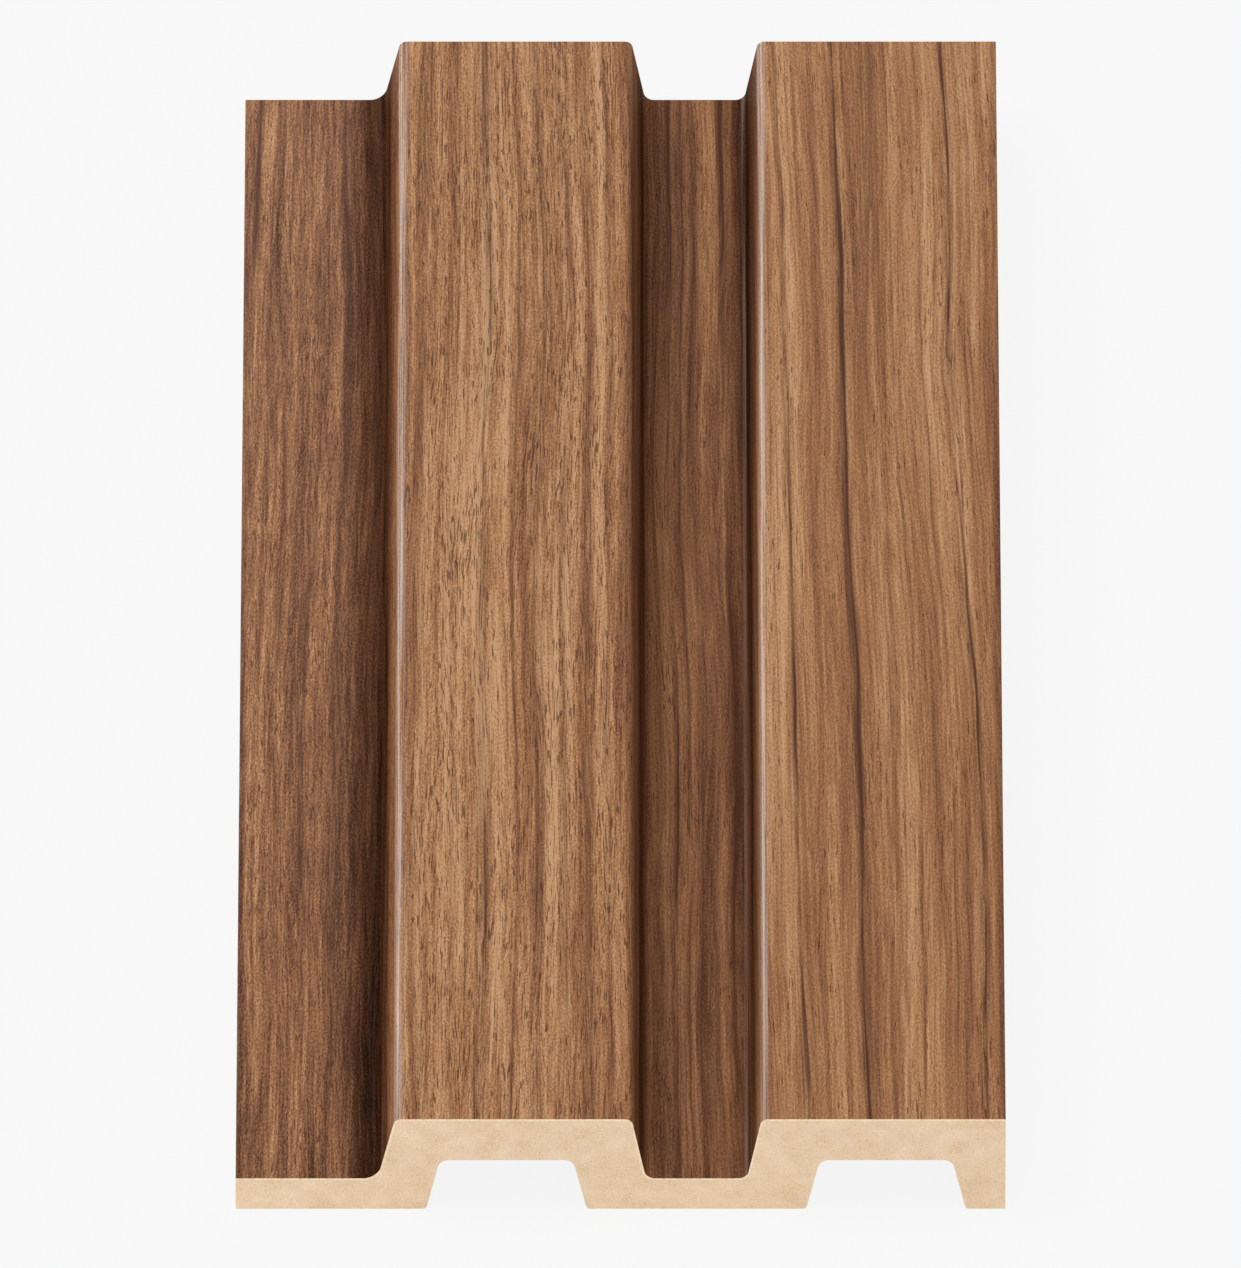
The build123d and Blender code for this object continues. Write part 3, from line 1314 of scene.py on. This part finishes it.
@dataclass
class PlankCore(Piece):
    """The foamed core under the film, with two open channels in its back.

    Attributes:
        bond: The thin pale line where film and foam are fused, seen at the sawn ends.
        bond_thickness: Width of that line.
    """

    RIM_CORNERS: ClassVar[int] = 4

    bond_thickness: float = 0.14 * MM
    skin: Finish = ExtrudedSkin("extruded_skin")
    sawn: Finish = SawnFoam("sawn_foam")
    bond: Finish = BarePlastic(
        "bond_line", srgb(238, 213, 182), srgb(224, 194, 160), Mottle((1.6, 1.6, 1.6)), (-0.15, 0.2)
    )

    def build(self) -> None:
        """Draws the section station by station, extrudes it over the length and rounds its long edges."""
        face = self.section.face_line(self.section.film_thickness)
        back = self.section.back_line()
        face.append(Corner(self.section.high.x, 0.0))
        centre = Vector(((face[0].x + face[1].x) / 2, self.section.low.y, face[0].z / 2))
        self.work = Workpiece(self.name, centre, face[1].x - face[0].x, face[0].z, math.pi / 2)
        self.shift(Corner(face[1].x, 0.0), back[1])
        for number in range(1, len(back) - 1):
            self.next_station(back[number : number + 2], face[number : number + 2])
        bpy.ops.mesh.select_all(action="SELECT")
        bpy.ops.mesh.dissolve_faces()
        self.work.extrude((0.0, self.section.length, 0.0))
        bpy.ops.mesh.select_all(action="SELECT")
        bpy.ops.mesh.normals_make_consistent(inside=False)
        rounded = [corner for corner in face + back if corner.radius]
        self.work.round_edges(rounded, self.rounding_segments)
        self.work.pick(Element.FACE, self.level_with_end)
        bpy.ops.mesh.inset(thickness=self.bond_thickness, depth=0.0)
        self.work.done()
        self.work.smooth(self.crease)

    @staticmethod
    def level_with_end(points: list[Vector]) -> bool:
        """Whether a face's points all lie at one place along the plank."""
        places = [point.y for point in points]
        return max(places) - min(places) < TOUCH

    def shift(self, corner: Corner, target: Corner) -> None:
        """Moves the section's point at a corner to another corner."""
        self.work.pick_at(Element.VERT, corner)
        self.work.move(target.place - corner.place)

    def next_station(self, back: Sequence[Corner], face: Sequence[Corner]) -> None:
        """Extrudes the last edge of the section to the next station.

        Args:
            back: The station's corner on the back and the next.
            face: The station's corner on the face and the next.
        """
        self.work.pick_at(Element.EDGE, back[0], face[0])
        step = back[1].place - back[0].place
        self.work.extrude(step)
        self.shift(Corner(face[0].x + step.x, face[0].z + step.z), face[1])

    def depth_under_film(self, point: Vector) -> float:
        """Measures how far a point of the section lies from the film's inner side.

        Args:
            point: The point.

        Returns:
            The distance to the nearest stretch of the film's line, without its roundings.
        """
        corners = self.section.face_line(self.section.film_thickness)
        line = [Vector((corner.x, corner.z)) for corner in corners]
        spot = Vector((point.x, point.z))
        gaps = []
        for before, after in pairwise(line):
            span = after - before
            share = min(1.0, max(0.0, (spot - before).dot(span) / span.length_squared))
            gaps.append((before + span * share - spot).length)
        return min(gaps)

    def dress(self) -> None:
        """Shows sawn foam and the bond line at the ends, and extruded skin elsewhere."""
        self.work.wear([self.skin, self.sawn, self.bond], self.finish_of)

    def finish_of(self, face: bpy.types.MeshPolygon) -> Finish:
        """Picks a face's finish.

        Args:
            face: The face.

        Returns:
            The bond line for the inset faces of the ends that lie along the film.
        """
        if not self.at_end(face):
            return self.skin
        on_rim = len(face.vertices) == self.RIM_CORNERS
        arc_sag = self.section.flange_foot_radius / 2
        return self.bond if on_rim and self.depth_under_film(face.center) < arc_sag else self.sawn


@dataclass(frozen=True)
class Softbox:
    """A large rectangular lamp that looks at the plank, with its sizes in metres.

    Attributes:
        azimuth: Its direction from the plank, in degrees clockwise from the far end.
        elevation: Its height above the floor, in degrees.
        radiance: Brightness of its face.
    """

    name: str
    azimuth: float
    elevation: float
    distance: float
    width: float
    height: float
    radiance: float

    def hang(self, target: Vector) -> None:
        """Hangs the lamp.

        Args:
            target: The point it looks at.
        """
        side, lift = math.radians(self.azimuth), math.radians(self.elevation)
        away = Vector((math.sin(side) * math.cos(lift), math.cos(side) * math.cos(lift), math.sin(lift)))
        turn = away.to_track_quat("Z", "Y").to_euler()
        bpy.ops.object.light_add(type="AREA", location=target + away * self.distance, rotation=turn)
        lamp = bpy.context.object
        lamp.name = lamp.data.name = self.name
        lamp.data.shape = "RECTANGLE"
        lamp.data.size, lamp.data.size_y = self.width, self.height
        lamp.data.energy = self.radiance * math.pi * self.width * self.height
        lamp.visible_camera = False
        log.info("%s: %.2f W", self.name, lamp.data.energy)


@dataclass
class Studio:
    """Floor, soft light and camera."""

    target: Vector
    floor_size: float = 40.0
    lens: float = 1650.0
    camera_elevation: float = math.radians(35.604)
    camera_distance: float = 12.2298
    camera_aim: Vector = field(default_factory=lambda: Vector((0.0, -0.00583, 0.0115)))
    softboxes: tuple[Softbox, ...] = (
        Softbox(
            "overhead_softbox",
            azimuth=-100.0, elevation=62.0, distance=1.6,
            width=1.0, height=1.0, radiance=2.4,
        ),
        Softbox(
            "arris_softbox",
            azimuth=-25.0, elevation=20.0, distance=1.1,
            width=0.6, height=0.7, radiance=2.6,
        ),
        Softbox(
            "front_softbox",
            azimuth=180.0, elevation=22.0, distance=2.2,
            width=1.6, height=1.0, radiance=2.95,
        ),
    )

    def build(self) -> None:
        """Lays the floor, hangs the lamps and sets up the camera."""
        backdrop = Backdrop("pale_backdrop")
        bpy.ops.object.select_all(action="DESELECT")
        bpy.ops.mesh.primitive_plane_add(size=self.floor_size)
        floor = bpy.context.object
        floor.name = "studio_floor"
        floor.data.materials.append(backdrop.material())
        world = bpy.data.worlds.new("studio")
        backdrop.light_world(world)
        bpy.context.scene.world = world
        for softbox in self.softboxes:
            softbox.hang(self.target)
        self.place_camera()

    def place_camera(self) -> None:
        """Stands the camera in front of the sawn end and well above it, far off behind a long lens."""
        lift = self.camera_elevation
        away = Vector((0.0, -math.cos(lift), math.sin(lift)))
        turn = away.to_track_quat("Z", "Y").to_euler()
        bpy.ops.object.camera_add(location=self.camera_aim + away * self.camera_distance, rotation=turn)
        camera = bpy.context.object
        camera.data.lens = self.lens
        camera.data.clip_end = 2 * self.camera_distance
        bpy.context.scene.camera = camera
        bpy.context.scene.view_settings.view_transform = "Standard"
        log.info("camera: lens %.0f mm at %.2f m", self.lens, self.camera_distance)


def main() -> None:
    """Builds the core, the film and the studio, in that order."""
    logging.basicConfig(level=logging.INFO, format="%(message)s")
    section = PlankSection(*CAD_BOX)
    pieces = (
        PlankCore(section, "foamed_core", "plank_core", "foamed_core"),
        DecorFilm(section, "wood_film", "decor_film", "wood_film"),
    )
    for piece in pieces:
        piece.build()
        piece.dress()
        piece.attach()
    Studio((section.low + section.high) / 2).build()


if __name__ == "__main__":
    main()
